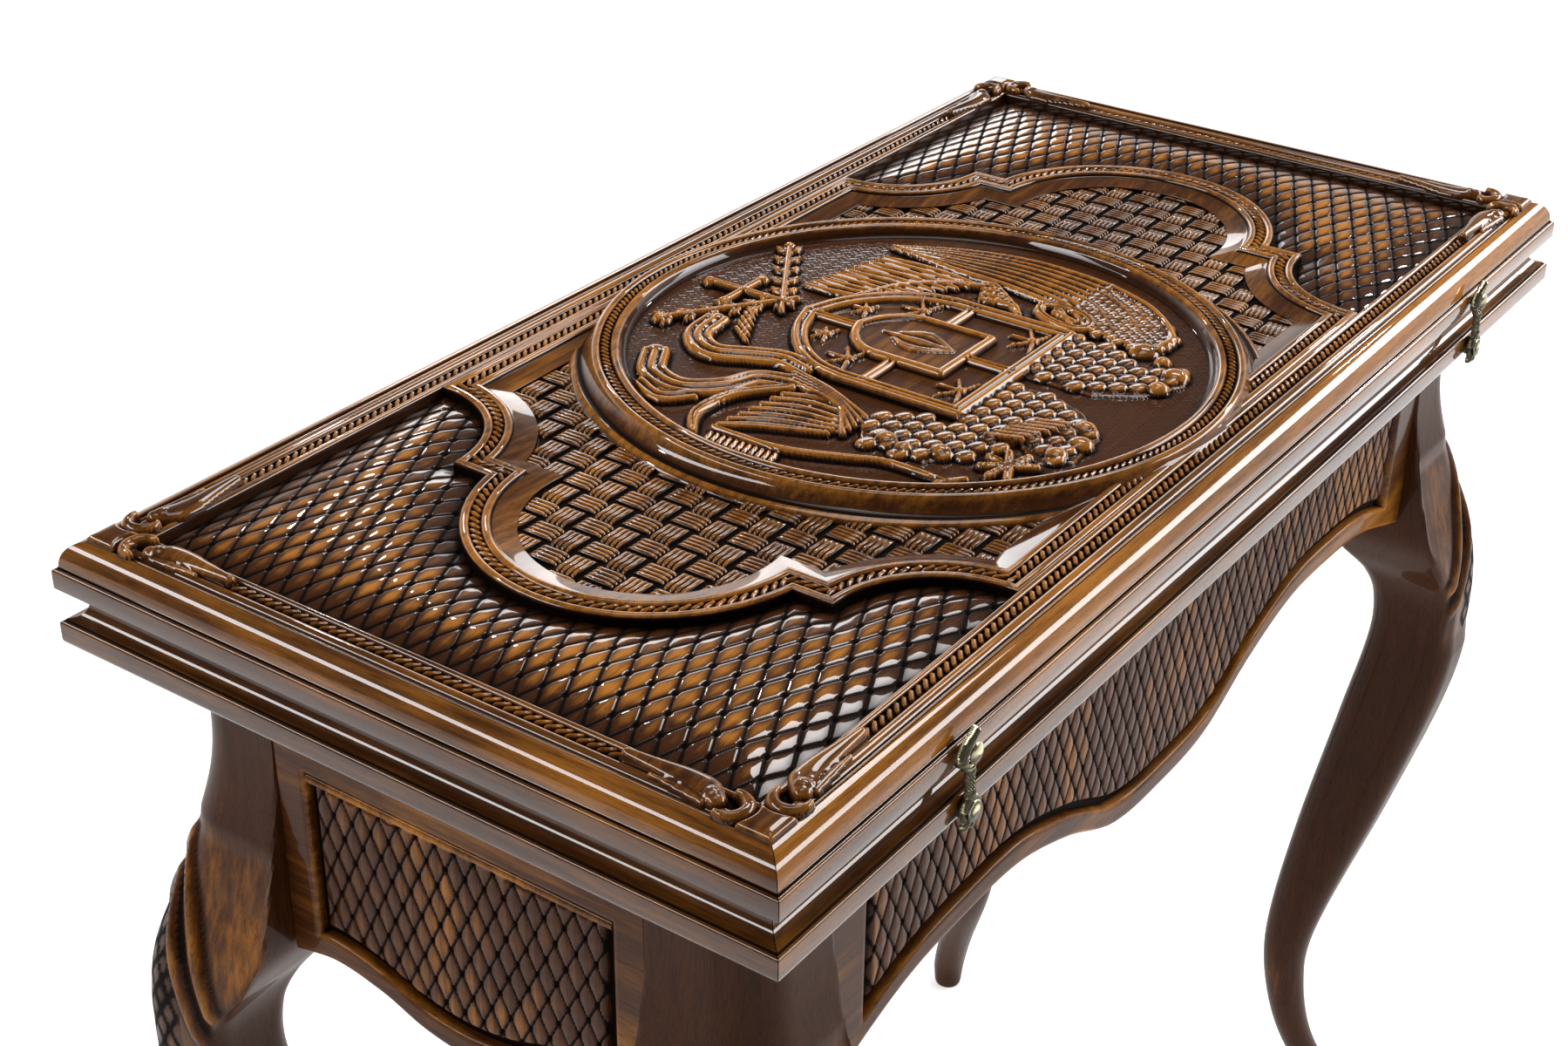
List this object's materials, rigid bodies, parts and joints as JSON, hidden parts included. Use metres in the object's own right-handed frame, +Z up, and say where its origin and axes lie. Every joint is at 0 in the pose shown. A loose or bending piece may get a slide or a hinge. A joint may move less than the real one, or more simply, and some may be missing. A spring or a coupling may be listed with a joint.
{
  "type": "carved lift-top games table",
  "caption": "Carved walnut games table: shallow tray top with a hinged carved lid and brass hooks, on a serpentine base with cabriole legs.",
  "frame": {"origin": "on the floor under the middle of the closed table", "axes": "+X along the table, +Y towards the hinged back, +Z up; the brass hooks are on the -Y side"},
  "size_m": [0.8, 0.41, 0.7822],
  "materials": {
    "walnut_frame": "dark walnut stain under gloss lacquer, rubbed lighter on the mouldings",
    "walnut_carved": "carved walnut, amber on the high spots, near black in the cuts, gloss lacquer",
    "playing_board": "plain walnut board, satin lacquer",
    "beech_inner": "unstained beech, matt",
    "brass_aged": "pale aged brass, dark in the recesses",
    "steel": "plain steel fastener",
    "felt": "dark green felt"
  },
  "bodies": {
    "base": {"leg_front_left": "walnut_frame", "corner_block_front_left": "beech_inner", "felt_pad_front_left": "felt", "leg_front_right": "walnut_frame", "corner_block_front_right": "beech_inner", "felt_pad_front_right": "felt", "leg_back_left": "walnut_frame", "corner_block_back_left": "beech_inner", "felt_pad_back_left": "felt", "leg_back_right": "walnut_frame", "corner_block_back_right": "beech_inner", "felt_pad_back_right": "felt", "apron_front": "walnut_frame", "lattice_front": "walnut_carved", "apron_back": "walnut_frame", "lattice_back": "walnut_carved", "apron_left": "walnut_frame", "lattice_left": "walnut_carved", "apron_right": "walnut_frame", "lattice_right": "walnut_carved", "cross_rail": "beech_inner", "rail_packing": "beech_inner", "fixing_bolt_front": "steel", "fixing_washer_front": "steel", "fixing_bolt_back": "steel", "fixing_washer_back": "steel", "lower_rail_front": "walnut_frame", "lower_rail_back": "walnut_frame", "lower_rail_left": "walnut_frame", "lower_rail_right": "walnut_frame", "lower_board": "playing_board", "hinge_plate_lower_left": "brass_aged", "hinge_pin_left": "brass_aged", "hook_stud_left": "brass_aged", "hinge_plate_lower_right": "brass_aged", "hinge_pin_right": "brass_aged", "hook_stud_right": "brass_aged"},
    "lid": {"upper_rail_front": "walnut_frame", "upper_rail_back": "walnut_frame", "upper_rail_left": "walnut_frame", "upper_rail_right": "walnut_frame", "upper_board": "playing_board", "quilted_panel_left": "walnut_carved", "lobed_frame_left": "walnut_carved", "quilted_panel_right": "walnut_carved", "lobed_frame_right": "walnut_carved", "medallion_ring": "walnut_carved", "medallion_carving": "walnut_carved", "corner_carving_front_left": "walnut_carved", "corner_carving_front_right": "walnut_carved", "corner_carving_back_left": "walnut_carved", "corner_carving_back_right": "walnut_carved", "hinge_plate_upper_left": "brass_aged", "hook_knob_left": "brass_aged", "hinge_plate_upper_right": "brass_aged", "hook_knob_right": "brass_aged"},
    "hook_left": {"hook_arm_left": "brass_aged"},
    "hook_right": {"hook_arm_right": "brass_aged"}
  },
  "joints": [
    {"name": "lid_open", "type": "hinge", "parent": "base", "child": "lid", "pos_m": [0, 0.2016, 0.747], "axis": [-1, 0, 0], "range_deg": [0, 105]},
    {"name": "hook_left_swing", "type": "hinge", "parent": "base", "child": "hook_left", "pos_m": [-0.272, -0.2016, 0.732], "axis": [0, -1, 0], "range_deg": [-5, 100]},
    {"name": "hook_right_swing", "type": "hinge", "parent": "base", "child": "hook_right", "pos_m": [0.272, -0.2016, 0.732], "axis": [0, -1, 0], "range_deg": [-5, 100]}
  ]
}
